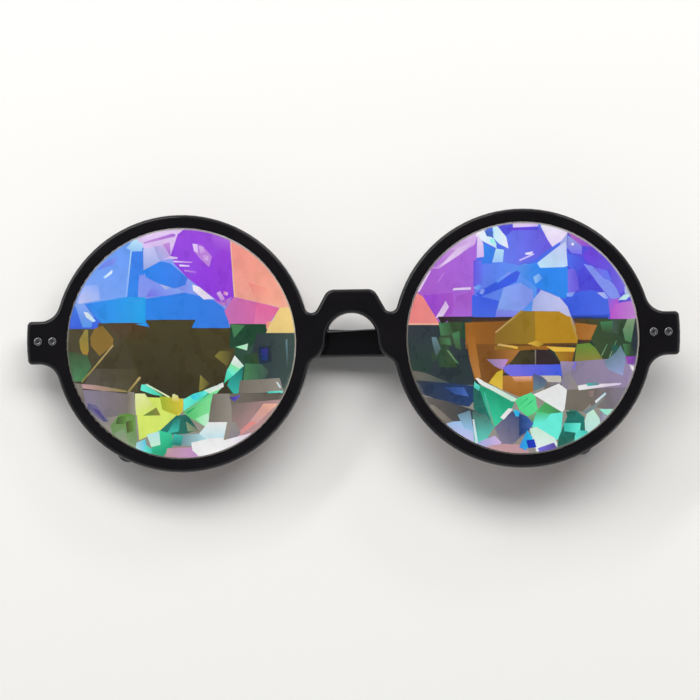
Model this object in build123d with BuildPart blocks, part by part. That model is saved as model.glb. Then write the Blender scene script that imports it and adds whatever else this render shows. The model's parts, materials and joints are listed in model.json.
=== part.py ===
from build123d import *
from math import atan, cos, degrees, radians, sin, tan
import os

# Round diffraction glasses, lying on their folded temples with the lenses up. Millimetres.
# The pieces are drawn in the glasses' own axes: X to the viewer's right, Y to the top of the
# glasses, Z out of their front. The bridge is at X = 0, the lens centres at Y = 0 and the front
# face of the frame at Z = 0. Each piece is laid on the table as it is written: the origin is then
# on the table under the bridge, and the outer temple lies flat on Z = 0. Left and right are the
# viewer's. The right temple folds first, so the left one lies over it, next to the table.

# Front frame
frame_depth = 5.0
opening_radius = 26.2
rim_width = 3.0
rim_gap = 18.8
front_edge_round = 0.9
back_edge_round = 0.3

# Lens seat in the rim
seat_clearance = 0.1
groove_depth = 1.3
groove_width = 1.8
front_lip = 1.6

# Bridge and the nose arch under it
bridge_rise = 11.7
bridge_top_width = 10.5
bridge_corner_round = 2.4
bridge_foot_inset = 0.5
bridge_foot_rise = 3.2
bridge_valley_round = 1.5
arch_radius = 5.8
arch_rise = 0.5
web_inset = 1.6
web_blend = 3.0

# Lugs at the ends of the front
lug_reach = 6.15
lug_height = 9.8
lug_rise = 0.65
lug_bulge = 0.3
lug_corner_round = 1.0
lug_blend = 4.5

# Lenses: a flat back, and a front ground in three tiers of facets
facet_count = 8
facet_turn = 4.0
table_radius = 12.2
crown_lift = 0.5
crown_height = 2.6
table_slope = 4.0
lens_rim_height = 4.6
lens_bevel = 0.7

# Nose pads on the back of the rims
pad_width = 2.3
pad_depth = 2.7
pad_round = 1.0
pad_start_angle = 194.0
pad_sweep = 25.0

# Hinges: the front leaf has the first, third and fifth knuckle, the temple leaf the others
knuckle_count = 5
hinge_rise = 1.0
pivot_inset = 7.35
pivot_offset = 1.6
knuckle_radius = 1.3
knuckle_height = 1.28
knuckle_gap = 0.05
front_leaf_reach = 6.1
temple_leaf_reach = 10.0
leaf_thickness = 0.8
leaf_fit = 0.02
screw_radius = 0.6
screw_clearance = 0.05
screw_head_radius = 1.05
screw_head_height = 0.5
screw_slot_width = 0.3
screw_slot_depth = 0.25

# Rivets through the lugs and the temples
rivet_radius = 0.95
rivet_fit = 0.02
rivet_proud = 0.12
rivet_dimple_radius = 0.45
rivet_dimple_depth = 0.2
front_rivet_inset = 2.65
front_rivet_pitch = 3.3
temple_rivet_start = 3.8
temple_rivet_pitch = 4.0
temple_rivet_sink = 0.05

# Temples
open_gap = 0.15
temple_thickness = 4.2
bend_thickness = 3.1
temple_height = 9.5
bend_height = 5.85
tip_height = 7.2
temple_slope = 1.05
bend_start = 74.0
bend_radius = 30.0
bend_turn = 30.5
ear_length = 38.0
tip_round = 2.7
temple_edge_round = 0.8
core_radius = 0.6
core_fit = 0.02
core_inset = 1.2
core_start = 12.0
core_tip_margin = 9.0
stack_gap = 0.2

# Overrun for cuts that pass through a face
overrun = 1.0

os.makedirs("parts", exist_ok=True)

rim_radius = opening_radius + rim_width
groove_radius = opening_radius + groove_depth
lens_x = rim_gap / 2 + rim_radius
lug_end = lens_x + rim_radius + lug_reach
pivot_x = lug_end - pivot_inset
pivot_z = -frame_depth - pivot_offset
barrel_length = knuckle_count * knuckle_height + (knuckle_count - 1) * knuckle_gap
barrel_bottom = hinge_rise - barrel_length / 2

# How the temples lie when folded. The left one turns just past the right one where they part,
# at the end of the right one's bend, and its tapered outer face then lies flat on the table.
taper = degrees(atan((temple_thickness - bend_thickness) / bend_start))
ear_slope = temple_slope + bend_turn
crossing_end = bend_start + bend_radius * sin(radians(ear_slope)) + bend_height / 2
crossing_thickness = temple_thickness - crossing_end * tan(radians(taper))
stack_angle = degrees(atan((crossing_thickness + stack_gap) / (2 * pivot_x - crossing_end)))
table_tilt = stack_angle - taper
front_height = (
    (pivot_offset + temple_thickness) * cos(radians(taper))
    + pivot_x * sin(radians(table_tilt))
    - pivot_z * cos(radians(table_tilt))
)
laid_on_table = Location((0, 0, front_height), (0, -table_tilt, 0))
left_hinge_axis = Axis((-pivot_x, 0, pivot_z), (0, 1, 0))


def write(piece, name):
    """Lays one finished piece on the table and writes it under its name."""
    placed = piece.moved(laid_on_table)
    placed.label = name
    export_step(placed, f"parts/{name}.step")


def write_pair(piece, name, left_turn=0):
    """Writes a right-hand piece and its left-hand twin, which may be turned about the left hinge."""
    write(piece, name.format("right"))
    with BuildPart() as twin:
        mirror(piece, about=Plane.YZ)
    write(twin.part.rotate(left_hinge_axis, left_turn), name.format("left"))


# Front frame, cut from one plate
front_rivet_places = [
    (lug_end - front_rivet_inset - front_rivet_pitch, hinge_rise),
    (lug_end - front_rivet_inset, hinge_rise),
]
front_leaf_inner = pivot_x - knuckle_radius
front_leaf_outer = pivot_x + front_leaf_reach
bridge_foot_x = rim_gap / 2 + bridge_foot_inset
web_foot_x = rim_gap / 2 + web_inset
web_flare = web_foot_x - arch_radius
lug_root_round = min(lug_blend, lug_reach - lug_corner_round)
lug_root_end = lug_end - lug_corner_round - 2 * lug_bulge

with BuildPart() as front_frame:
    with BuildSketch(Plane.XY.offset(-frame_depth)) as outline:
        with BuildLine():
            Polyline(
                (-bridge_foot_x, bridge_foot_rise),
                (-bridge_top_width / 2, bridge_rise),
                (bridge_top_width / 2, bridge_rise),
                (bridge_foot_x, bridge_foot_rise),
                (web_foot_x, arch_rise - web_flare),
            )
            CenterArc((web_foot_x, arch_rise), web_flare, 180, 90)
            CenterArc((0, arch_rise), arch_radius, 0, 180)
            CenterArc((-web_foot_x, arch_rise), web_flare, 270, 90)
            Line((-web_foot_x, arch_rise - web_flare), (-bridge_foot_x, bridge_foot_rise))
        make_face()
        with Locations((-lens_x, 0), (lens_x, 0)):
            Circle(rim_radius)
        for side in (-1, 1):
            with BuildLine():
                Polyline(
                    (side * (lug_end - lug_bulge), lug_rise - lug_height / 2),
                    (side * lens_x, lug_rise - lug_height / 2),
                    (side * lens_x, lug_rise + lug_height / 2),
                    (side * (lug_end - lug_bulge), lug_rise + lug_height / 2),
                )
                ThreePointArc(
                    (side * (lug_end - lug_bulge), lug_rise + lug_height / 2),
                    (side * lug_end, lug_rise),
                    (side * (lug_end - lug_bulge), lug_rise - lug_height / 2),
                )
            make_face()
        # the lugs' end corners, the bridge's top corners, then the hollow ones at lugs, bridge and web
        corners = outline.vertices().filter_by(lambda v: abs(v.X) > lug_end - lug_bulge - lug_corner_round)
        fillet(corners, lug_corner_round)
        top_corners = outline.vertices().filter_by(
            lambda v: abs(v.X) < rim_gap / 2 and v.Y > bridge_rise - bridge_corner_round
        )
        fillet(top_corners, bridge_corner_round)
        for radius, nearest, furthest, lowest, highest in (
            (lug_root_round, lens_x + opening_radius, lug_root_end, -lug_height, lug_height),
            (bridge_valley_round, rim_gap / 2, lens_x, 0, bridge_rise),
            (web_blend, rim_gap / 2, lens_x, -2 * web_flare, 0),
        ):
            hollow = outline.vertices().filter_by(
                lambda v: nearest < abs(v.X) < furthest and lowest < v.Y < highest
            )
            fillet(hollow, radius)
    extrude(amount=frame_depth)
    fillet(front_frame.faces().sort_by(Axis.Z)[-1].edges(), front_edge_round)
    chamfer(front_frame.faces().sort_by(Axis.Z)[0].edges(), back_edge_round)
    # lens openings, and the groove that each lens snaps into
    with BuildSketch(Plane.XY):
        with Locations((-lens_x, 0), (lens_x, 0)):
            Circle(opening_radius)
    extrude(amount=-frame_depth, mode=Mode.SUBTRACT)
    with BuildSketch(Plane.XY.offset(-front_lip)):
        with Locations((-lens_x, 0), (lens_x, 0)):
            Circle(groove_radius)
    extrude(amount=-groove_width, mode=Mode.SUBTRACT)
    # recesses for the hinge leaves, and the rivet holes through the lugs
    for side in (-1, 1):
        with BuildSketch(Plane.XY.offset(-frame_depth)):
            with Locations((side * (front_leaf_inner + front_leaf_outer) / 2, hinge_rise)):
                Rectangle(
                    front_leaf_outer - front_leaf_inner + 2 * leaf_fit,
                    barrel_length + 2 * leaf_fit,
                )
        extrude(amount=leaf_thickness + leaf_fit, mode=Mode.SUBTRACT)
        with BuildSketch(Plane.XY.offset(-frame_depth)):
            with Locations([(side * x, y) for x, y in front_rivet_places]):
                Circle(rivet_radius + rivet_fit)
        extrude(amount=frame_depth, mode=Mode.SUBTRACT)
write(front_frame.part, "front_frame")

# Lens: a disc with a girdle, ground with a shallow eight-sided point, eight star facets and
# eight main facets, and bevelled where it meets the rim
lens_radius = opening_radius - seat_clearance
corner_share = cos(radians(180 / facet_count))
table_top = crown_lift + crown_height
star_slope = degrees(atan(crown_height / (lens_radius - table_radius * corner_share)))
main_slope = degrees(atan(crown_height / (lens_radius * corner_share - table_radius)))
apex = table_top + table_radius * corner_share * tan(radians(table_slope))


def facet_plane(turn, distance, height, slope):
    """The plane of one facet, through a point at that distance from the lens axis."""
    azimuth = radians(turn)
    outward = (sin(radians(slope)) * cos(azimuth), sin(radians(slope)) * sin(azimuth), cos(radians(slope)))
    return Plane(
        origin=(lens_x + distance * cos(azimuth), distance * sin(azimuth), height),
        z_dir=outward,
    )


with BuildPart() as lens:
    with BuildSketch(Plane.XY.offset(crown_lift - lens_rim_height)):
        with Locations((lens_x, 0)):
            Circle(lens_radius)
    extrude(amount=lens_rim_height - crown_lift + apex)
    for facet in range(facet_count):
        main_turn = facet_turn + facet * 360 / facet_count
        star_turn = main_turn + 180 / facet_count
        for plane in (
            facet_plane(star_turn, table_radius * corner_share, table_top, table_slope),
            facet_plane(star_turn, table_radius * corner_share, table_top, star_slope),
            facet_plane(main_turn, table_radius, table_top, main_slope),
        ):
            split(bisect_by=plane, keep=Keep.BOTTOM)
    # bevel around the front edge
    with BuildSketch(Plane.XZ):
        with Locations((lens_x, 0)):
            with BuildLine():
                Polyline(
                    (lens_x + lens_radius, crown_lift - lens_bevel),
                    (lens_x + lens_radius - lens_bevel - overrun, crown_lift + overrun),
                    (lens_x + lens_radius + overrun, crown_lift + overrun),
                    (lens_x + lens_radius + overrun, crown_lift - lens_bevel),
                    close=True,
                )
            make_face()
    revolve(axis=Axis((lens_x, 0, 0), (0, 0, 1)), mode=Mode.SUBTRACT)
    with BuildSketch(Plane.XY.offset(-front_lip - seat_clearance)):
        with Locations((lens_x, 0)):
            Circle(groove_radius - seat_clearance)
    extrude(amount=-(groove_width - 2 * seat_clearance))
write_pair(lens.part, "lens_{}")

# Nose pad, a rounded ridge along the inner side of each rim
with BuildPart() as nose_pad:
    with BuildSketch(Plane.XY.offset(-frame_depth)):
        with BuildLine(mode=Mode.PRIVATE) as pad_line:
            CenterArc((lens_x, 0), opening_radius + rim_width / 2, pad_start_angle, pad_sweep)
        SlotArc(pad_line.edge(), pad_width)
    extrude(amount=-pad_depth)
    fillet(nose_pad.faces().sort_by(Axis.Z)[0].edges(), pad_round)
write_pair(nose_pad.part, "nose_pad_{}")


def knuckle_plane(level):
    """The lower end of one knuckle on the hinge axis, seen from above: its local Y points backwards."""
    height = barrel_bottom + level * (knuckle_height + knuckle_gap)
    return Plane(origin=(pivot_x, height, pivot_z), x_dir=(1, 0, 0), z_dir=(0, 1, 0))


# Front leaf: a plate in the lug's back and three knuckles
with BuildPart() as front_leaf:
    with BuildSketch(Plane.XY.offset(-frame_depth)):
        with Locations(((front_leaf_inner + front_leaf_outer) / 2, hinge_rise)):
            Rectangle(front_leaf_outer - front_leaf_inner, barrel_length)
    extrude(amount=leaf_thickness)
    for level in range(0, knuckle_count, 2):
        with BuildSketch(knuckle_plane(level)):
            Circle(knuckle_radius)
            with Locations((0, -pivot_offset / 2)):
                Rectangle(2 * knuckle_radius, pivot_offset)
        extrude(amount=knuckle_height)
    with BuildSketch(knuckle_plane(0)):
        Circle(screw_radius + screw_clearance)
    extrude(amount=barrel_length, mode=Mode.SUBTRACT)
    with BuildSketch(Plane.XY.offset(-frame_depth)):
        with Locations(front_rivet_places):
            Circle(rivet_radius + rivet_fit)
    extrude(amount=leaf_thickness, mode=Mode.SUBTRACT)
write_pair(front_leaf.part, "hinge_front_leaf_{}")

# Pivot screw, its slotted head on top of the barrel
with BuildPart() as screw:
    with BuildSketch(knuckle_plane(0)):
        Circle(screw_radius)
    extrude(amount=barrel_length)
    with BuildSketch(knuckle_plane(0).offset(barrel_length)):
        Circle(screw_head_radius)
    extrude(amount=screw_head_height)
    with BuildSketch(knuckle_plane(0).offset(barrel_length + screw_head_height)):
        Rectangle(2 * screw_head_radius, screw_slot_width)
    extrude(amount=-screw_slot_depth, mode=Mode.SUBTRACT)
write_pair(screw.part, "hinge_screw_{}")

# Rivets through the lugs, with a dimple in each head
for place, where in zip(front_rivet_places, ("inner", "outer")):
    with BuildPart() as rivet:
        with BuildSketch(Plane.XY.offset(-frame_depth)):
            with Locations(place):
                Circle(rivet_radius)
        extrude(amount=frame_depth + rivet_proud)
        with BuildSketch(Plane.XY.offset(rivet_proud)):
            with Locations(place):
                Circle(rivet_dimple_radius)
        extrude(amount=-rivet_dimple_depth, mode=Mode.SUBTRACT)
    write_pair(rivet.part, f"front_rivet_{{}}_{where}")

# Temples, drawn folded flat behind the front: local X runs from the hinge to the ear and local Z
# points out of the temple's outer side
temple_plane = Plane(origin=(pivot_x, lug_rise, pivot_z), x_dir=(-1, 0, 0), z_dir=(0, 0, -1))
inner_face = temple_plane.offset(pivot_offset)
outer_face = Plane(
    origin=(pivot_x, lug_rise, pivot_z - pivot_offset - temple_thickness),
    z_dir=(-sin(radians(taper)), 0, -cos(radians(taper))),
)


def on_shank(distance, across):
    """A point of the straight part, by its distance from the hinge and its height over the centre line."""
    slope = radians(temple_slope)
    return (distance * cos(slope) + across * sin(slope), across * cos(slope) - distance * sin(slope))


butt = open_gap - pivot_offset
bend_centre = on_shank(bend_start, -bend_radius)


def on_ear(distance, across):
    """The same for the ear, by the distance from the end of the bend."""
    slope = radians(ear_slope)
    reach = bend_radius + across
    return (
        bend_centre[0] + distance * cos(slope) + reach * sin(slope),
        bend_centre[1] - distance * sin(slope) + reach * cos(slope),
    )


def core_line():
    """The centre line of the wire core."""
    Line(on_shank(core_start, 0), on_shank(bend_start, 0))
    CenterArc(bend_centre, bend_radius, 90 - temple_slope, -bend_turn)
    Line(on_ear(0, 0), on_ear(ear_length - core_tip_margin, 0))


core_plane = temple_plane.offset(pivot_offset + core_inset)
temple_rivet_places = [
    (temple_rivet_start, hinge_rise - lug_rise),
    (temple_rivet_start + temple_rivet_pitch, hinge_rise - lug_rise),
]
temple_leaf_length = temple_leaf_reach + knuckle_radius
temple_leaf_centre = ((temple_leaf_reach - knuckle_radius) / 2, hinge_rise - lug_rise)

with BuildPart() as temple:
    with BuildSketch(inner_face) as side_view:
        with BuildLine():
            Line((butt, temple_height / 2), on_shank(bend_start, bend_height / 2))
            CenterArc(bend_centre, bend_radius + bend_height / 2, 90 - temple_slope, -bend_turn)
            Polyline(
                on_ear(0, bend_height / 2),
                on_ear(ear_length, tip_height / 2),
                on_ear(ear_length, -tip_height / 2),
                on_ear(0, -bend_height / 2),
            )
            CenterArc(bend_centre, bend_radius - bend_height / 2, 90 - ear_slope, bend_turn)
            Polyline(
                on_shank(bend_start, -bend_height / 2),
                (butt, -temple_height / 2),
                (butt, temple_height / 2),
            )
        make_face()
        tip = side_view.vertices().sort_by(Axis.X)[-2:]
        fillet(tip, tip_round)
    extrude(amount=temple_thickness)
    split(bisect_by=outer_face, keep=Keep.BOTTOM)
    by_height = temple.faces().sort_by(Axis.Z)
    fillet(by_height[0].edges() + by_height[-1].edges(), temple_edge_round)
    # recess for the hinge leaf, rivet holes and the wire's channel
    with BuildSketch(inner_face):
        with Locations(temple_leaf_centre):
            Rectangle(temple_leaf_length + 2 * leaf_fit, barrel_length + 2 * leaf_fit)
    extrude(amount=leaf_thickness + leaf_fit, mode=Mode.SUBTRACT)
    with BuildSketch(inner_face):
        with Locations(temple_rivet_places):
            Circle(rivet_radius + rivet_fit)
    extrude(amount=temple_thickness + overrun, mode=Mode.SUBTRACT)
    with BuildLine(core_plane) as channel:
        core_line()
    with BuildSketch(Plane(origin=channel.line @ 0, z_dir=channel.line % 0)):
        Circle(core_radius + core_fit)
    sweep(path=channel.line, mode=Mode.SUBTRACT)

with BuildPart() as temple_leaf:
    with BuildSketch(inner_face):
        with Locations(temple_leaf_centre):
            Rectangle(temple_leaf_length, barrel_length)
    extrude(amount=leaf_thickness)
    for level in range(1, knuckle_count, 2):
        with BuildSketch(knuckle_plane(level)):
            Circle(knuckle_radius)
            with Locations((0, pivot_offset / 2)):
                Rectangle(2 * knuckle_radius, pivot_offset)
        extrude(amount=knuckle_height)
    with BuildSketch(knuckle_plane(0)):
        Circle(screw_radius + screw_clearance)
    extrude(amount=barrel_length, mode=Mode.SUBTRACT)
    with BuildSketch(inner_face):
        with Locations(temple_rivet_places):
            Circle(rivet_radius + rivet_fit)
    extrude(amount=leaf_thickness, mode=Mode.SUBTRACT)

with BuildPart() as core:
    with BuildLine(core_plane) as wire:
        core_line()
    with BuildSketch(Plane(origin=wire.line @ 0, z_dir=wire.line % 0)):
        Circle(core_radius)
    sweep(path=wire.line)

write_pair(temple.part, "temple_{}", stack_angle)
write_pair(temple_leaf.part, "hinge_temple_leaf_{}", stack_angle)
write_pair(core.part, "temple_core_{}", stack_angle)

# Rivets through the temple, cut just under its outer face
for place, where in zip(temple_rivet_places, ("front", "rear")):
    with BuildPart() as rivet:
        with BuildSketch(inner_face):
            with Locations(place):
                Circle(rivet_radius)
        extrude(amount=temple_thickness)
        split(bisect_by=outer_face.offset(-temple_rivet_sink), keep=Keep.BOTTOM)
    write_pair(rivet.part, f"temple_rivet_{{}}_{where}", stack_angle)

for name, x in (("left", -pivot_x), ("right", pivot_x)):
    print(name, "hinge axis at", (laid_on_table * Location((x, 0, pivot_z))).position)
print("left temple opens by", 90 - stack_angle)
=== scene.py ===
import json
from math import cos, pi, radians, sin

import bmesh
import bpy
from mathutils import Matrix, Vector


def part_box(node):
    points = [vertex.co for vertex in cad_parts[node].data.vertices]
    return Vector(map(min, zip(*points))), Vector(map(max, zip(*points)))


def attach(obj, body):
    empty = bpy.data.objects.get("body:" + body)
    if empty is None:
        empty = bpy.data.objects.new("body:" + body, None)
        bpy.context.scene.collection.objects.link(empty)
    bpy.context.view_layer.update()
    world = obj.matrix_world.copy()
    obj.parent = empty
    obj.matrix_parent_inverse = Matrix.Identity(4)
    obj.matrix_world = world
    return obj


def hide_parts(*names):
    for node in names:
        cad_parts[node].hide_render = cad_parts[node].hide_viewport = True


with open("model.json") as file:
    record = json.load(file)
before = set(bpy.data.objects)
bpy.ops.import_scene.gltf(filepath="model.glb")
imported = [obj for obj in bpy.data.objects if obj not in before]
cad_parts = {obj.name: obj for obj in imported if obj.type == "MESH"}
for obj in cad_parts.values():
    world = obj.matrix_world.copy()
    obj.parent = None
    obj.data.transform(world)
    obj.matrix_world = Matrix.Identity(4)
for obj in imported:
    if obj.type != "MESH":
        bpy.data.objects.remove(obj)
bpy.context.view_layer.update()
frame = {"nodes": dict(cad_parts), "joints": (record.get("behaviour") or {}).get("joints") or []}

# The glasses' own axes, found from their two hinge pins: X runs along the front to the viewer's
# right, Y to the top of the glasses, Z out of the front. The folded temples tilt them on the table.
hinge_places = {joint["name"]: Vector(joint["pos_m"]) for joint in frame["joints"]}
left_hinge = hinge_places["temple_left_fold"]
right_hinge = hinge_places["temple_right_fold"]
along_front = (right_hinge - left_hinge).normalized()
to_top = Vector((0, 1, 0))
out_of_front = along_front.cross(to_top)
front_above_hinges = 0.0066
front_middle = (left_hinge + right_hinge) / 2 + front_above_hinges * out_of_front
glasses_axes = Matrix((along_front, to_top, out_of_front)).transposed().to_4x4()
glasses_axes.translation = front_middle


# The photograph looks straight down at the table from a little over half a metre. The camera is
# turned slightly about its own axis, so the front runs up to the right by less than a degree.
picture_width_on_front = 0.15795
camera_distance = 0.65
camera_roll = radians(0.92)
picture_centre = Vector((-0.0003, -0.00204, front_middle.z))


def add_object(name, data):
    """A new object in the scene."""
    new_object = bpy.data.objects.new(name, data)
    bpy.context.scene.collection.objects.link(new_object)
    return new_object


camera_data = bpy.data.cameras.new("camera")
camera_data.sensor_width = 36.0
camera_data.lens = camera_data.sensor_width * camera_distance / picture_width_on_front
camera_data.clip_start = 0.01
camera = add_object("camera", camera_data)
camera.matrix_world = Matrix.Translation(
    picture_centre + Vector((0, 0, camera_distance))
) @ Matrix.Rotation(-camera_roll, 4, "Z")
bpy.context.scene.camera = camera
bpy.context.scene.view_settings.view_transform = "Standard"


# Daylight in a pale room: a soft skylight beyond the top of the glasses, low windows that edge the
# rims with light, and pale walls. Straight above it is dimmer, where whoever takes the picture stands.
def shader_tree(name, is_world=False):
    """A new material or world with an empty node tree and its output node."""
    block = bpy.data.worlds.new(name) if is_world else bpy.data.materials.new(name)
    block.use_nodes = True
    tree = block.node_tree
    tree.nodes.clear()
    output = tree.nodes.new("ShaderNodeOutputWorld" if is_world else "ShaderNodeOutputMaterial")
    return block, tree, output


def add_node(tree, kind, settings=None, **inputs):
    """A new node with settings such as its operation, its inputs set to values or linked to outputs."""
    node = tree.nodes.new("ShaderNode" + kind)
    for setting, value in (settings or {}).items():
        setattr(node, setting, value)
    for name, value in inputs.items():
        socket = node.inputs[int(name[1:])] if name[1:].isdigit() else node.inputs[name.replace("_", " ")]
        if isinstance(value, bpy.types.NodeSocket):
            tree.links.new(value, socket)
        else:
            socket.default_value = value
    return node


def add_ramp(tree, factor, *stops):
    """A colour ramp through stops of place and grey level or colour."""
    ramp = add_node(tree, "ValToRGB", Fac=factor)
    elements = ramp.color_ramp.elements
    while len(elements) < len(stops):
        elements.new(0.5)
    for element, (place, colour) in zip(elements, stops):
        element.position = place
        element.color = (*(colour if isinstance(colour, tuple) else (colour,) * 3), 1)
    return ramp.outputs["Color"]


room_level = 0.64
mirrored_room_level = 1.0
daylight_colour = (1.0, 0.985, 0.965)
table_size = 3.0

world, tree, output = shader_tree("room", is_world=True)
towards = add_node(tree, "TexCoord").outputs["Generated"]
upwards = add_node(tree, "SeparateXYZ", Vector=towards).outputs["Z"]
room_light = add_ramp(tree, upwards, (0.0, 0.66), (0.35, 0.68), (0.8, 0.44), (0.93, 0.13), (1.0, 0.1))
ray = add_node(tree, "LightPath").outputs
mirrored_ray = add_node(
    tree, "Math", {"operation": "MAXIMUM"}, _0=ray["Is Glossy Ray"], _1=ray["Is Transmission Ray"]
).outputs[0]
wall_level = add_node(
    tree, "MapRange", Value=mirrored_ray, To_Min=room_level, To_Max=mirrored_room_level
).outputs[0]
walls = add_node(tree, "Background", Color=room_light, Strength=wall_level)
pale_backdrop = add_node(tree, "Background", Color=(0.9, 0.9, 0.895, 1), Strength=1.0)
room = add_node(
    tree, "MixShader", _0=ray["Is Camera Ray"], _1=walls.outputs[0], _2=pale_backdrop.outputs[0]
)
tree.links.new(room.outputs[0], output.inputs["Surface"])
bpy.context.scene.world = world

for name, place, width, height, power, mirrored in (
    ("skylight", (0.08, 0.6, 0.95), 1.2, 0.42, 10.0, False),
    ("left window", (-0.62, 0.62, 0.66), 1.1, 0.1, 3.4, True),
    ("right window", (0.5, 0.85, 0.55), 0.5, 0.16, 1.2, True),
):
    lamp_data = bpy.data.lights.new(name, "AREA")
    lamp_data.shape = "RECTANGLE"
    lamp_data.size = width
    lamp_data.size_y = height
    lamp_data.energy = power
    lamp_data.color = daylight_colour
    lamp = add_object(name, lamp_data)
    lamp.location = place
    lamp.rotation_euler = (-lamp.location).to_track_quat("-Z", "Y").to_euler()
    lamp.visible_glossy = mirrored

table_mesh = bpy.data.meshes.new("table")
bm = bmesh.new()
bmesh.ops.create_grid(bm, x_segments=1, y_segments=1, size=table_size)
bm.to_mesh(table_mesh)
bm.free()
table = add_object("table", table_mesh)
table_paint, tree, output = shader_tree("table_paint")
table_shader = add_node(
    tree, "BsdfPrincipled", Base_Color=(0.93, 0.925, 0.915, 1), Roughness=0.7, IOR=1.3
)
tree.links.new(table_shader.outputs[0], output.inputs["Surface"])
table_mesh.materials.append(table_paint)


# Front and temples, cut from black acetate sheet, milled, and tumbled until they shine. The same
# acetate makes the nose pads, which are cemented to the back of the rims.
scratch_depth = 0.00003
crease_angle = radians(32)


def object_coordinates(tree, scale=(1, 1, 1)):
    """Object coordinates in millimetres, stretched by a scale."""
    place = add_node(tree, "TexCoord").outputs["Object"]
    return add_node(tree, "Mapping", Vector=place, Scale=tuple(1000 * s for s in scale)).outputs[0]


black_acetate, tree, output = shader_tree("black_acetate")
smears = add_node(
    tree, "TexNoise", Vector=object_coordinates(tree), Scale=0.16, Detail=4.0, Roughness=0.6
).outputs["Fac"]
hairlines = add_node(
    tree, "TexNoise", Vector=object_coordinates(tree, (0.25, 2.6, 2.6)), Scale=1.6, Detail=3.0
).outputs["Fac"]
sheet_colour = add_ramp(tree, smears, (0.3, (0.0038, 0.0032, 0.0046)), (0.7, (0.0062, 0.0054, 0.0074)))
polish = add_node(
    tree, "MapRange", Value=smears, From_Min=0.3, From_Max=0.75, To_Min=0.025, To_Max=0.09
).outputs[0]
scratch_bump = add_node(tree, "Bump", Strength=0.02, Distance=scratch_depth, Height=hairlines)
acetate_shader = add_node(
    tree,
    "BsdfPrincipled",
    Base_Color=sheet_colour,
    Roughness=polish,
    IOR=1.48,
    Normal=scratch_bump.outputs[0],
)
tree.links.new(acetate_shader.outputs[0], output.inputs["Surface"])


def polished_copy(node, name, body, material):
    """Puts a merged copy of a node, its rounded edges shaded smooth, in place of the node."""
    mesh = bpy.data.meshes.new(name)
    bm = bmesh.new()
    bm.from_mesh(frame["nodes"][node].data)
    bmesh.ops.remove_doubles(bm, verts=bm.verts, dist=2e-7)
    bmesh.ops.dissolve_degenerate(bm, edges=bm.edges, dist=1e-8)
    for face in bm.faces:
        face.smooth = True
        face.material_index = 0
    bm.to_mesh(mesh)
    bm.free()
    mesh.set_sharp_from_angle(angle=crease_angle)
    mesh.materials.append(material)
    piece = add_object(name, mesh)
    weighted = piece.modifiers.new("flat faces stay flat", "WEIGHTED_NORMAL")
    weighted.keep_sharp = True
    weighted.weight = 100
    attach(piece, body)
    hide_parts(node)


polished_copy("front_frame", "front", "front", black_acetate)
for side in ("left", "right"):
    polished_copy(f"nose_pad_{side}", f"nose_pad.{side}", "front", black_acetate)
    polished_copy(f"temple_{side}", f"temple.{side}", f"temple_{side}", black_acetate)


# Hinge leaves and screws. The leaves are stamped from nickel silver and brushed along their length,
# the screws are turned steel. Each temple also holds a drawn steel wire, hidden in the acetate.
grain_shade = 0.82


def metal(name, colour, roughest, grain_scale, grain_bump):
    """A metal with grain that varies its shine."""
    material, tree, output = shader_tree(name)
    grain = add_node(
        tree, "TexNoise", Vector=object_coordinates(tree, grain_scale), Scale=2.0, Detail=4.0
    ).outputs["Fac"]
    tint = add_ramp(tree, grain, (0.25, tuple(grain_shade * c for c in colour)), (0.75, colour))
    roughness = add_node(
        tree, "MapRange", Value=grain, From_Min=0.2, From_Max=0.8, To_Min=0.5 * roughest, To_Max=roughest
    ).outputs[0]
    bump = add_node(tree, "Bump", Strength=grain_bump, Distance=scratch_depth, Height=grain)
    shader = add_node(
        tree, "BsdfPrincipled", Base_Color=tint, Metallic=1.0, Roughness=roughness, Normal=bump.outputs[0]
    )
    tree.links.new(shader.outputs[0], output.inputs["Surface"])
    return material


def give_material(node, material):
    """Gives a node of the part its material."""
    materials = frame["nodes"][node].data.materials
    materials.clear()
    materials.append(material)


nickel_silver = metal("nickel_silver", (0.66, 0.63, 0.57), 0.42, (0.4, 6.0, 6.0), 0.25)
turned_steel = metal("turned_steel", (0.56, 0.56, 0.58), 0.36, (3.0, 3.0, 3.0), 0.15)
drawn_wire = metal("drawn_wire", (0.6, 0.58, 0.55), 0.45, (0.5, 5.0, 5.0), 0.2)
for side in ("left", "right"):
    give_material(f"hinge_front_leaf_{side}", nickel_silver)
    give_material(f"hinge_temple_leaf_{side}", nickel_silver)
    give_material(f"hinge_screw_{side}", turned_steel)
    give_material(f"temple_core_{side}", drawn_wire)


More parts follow.
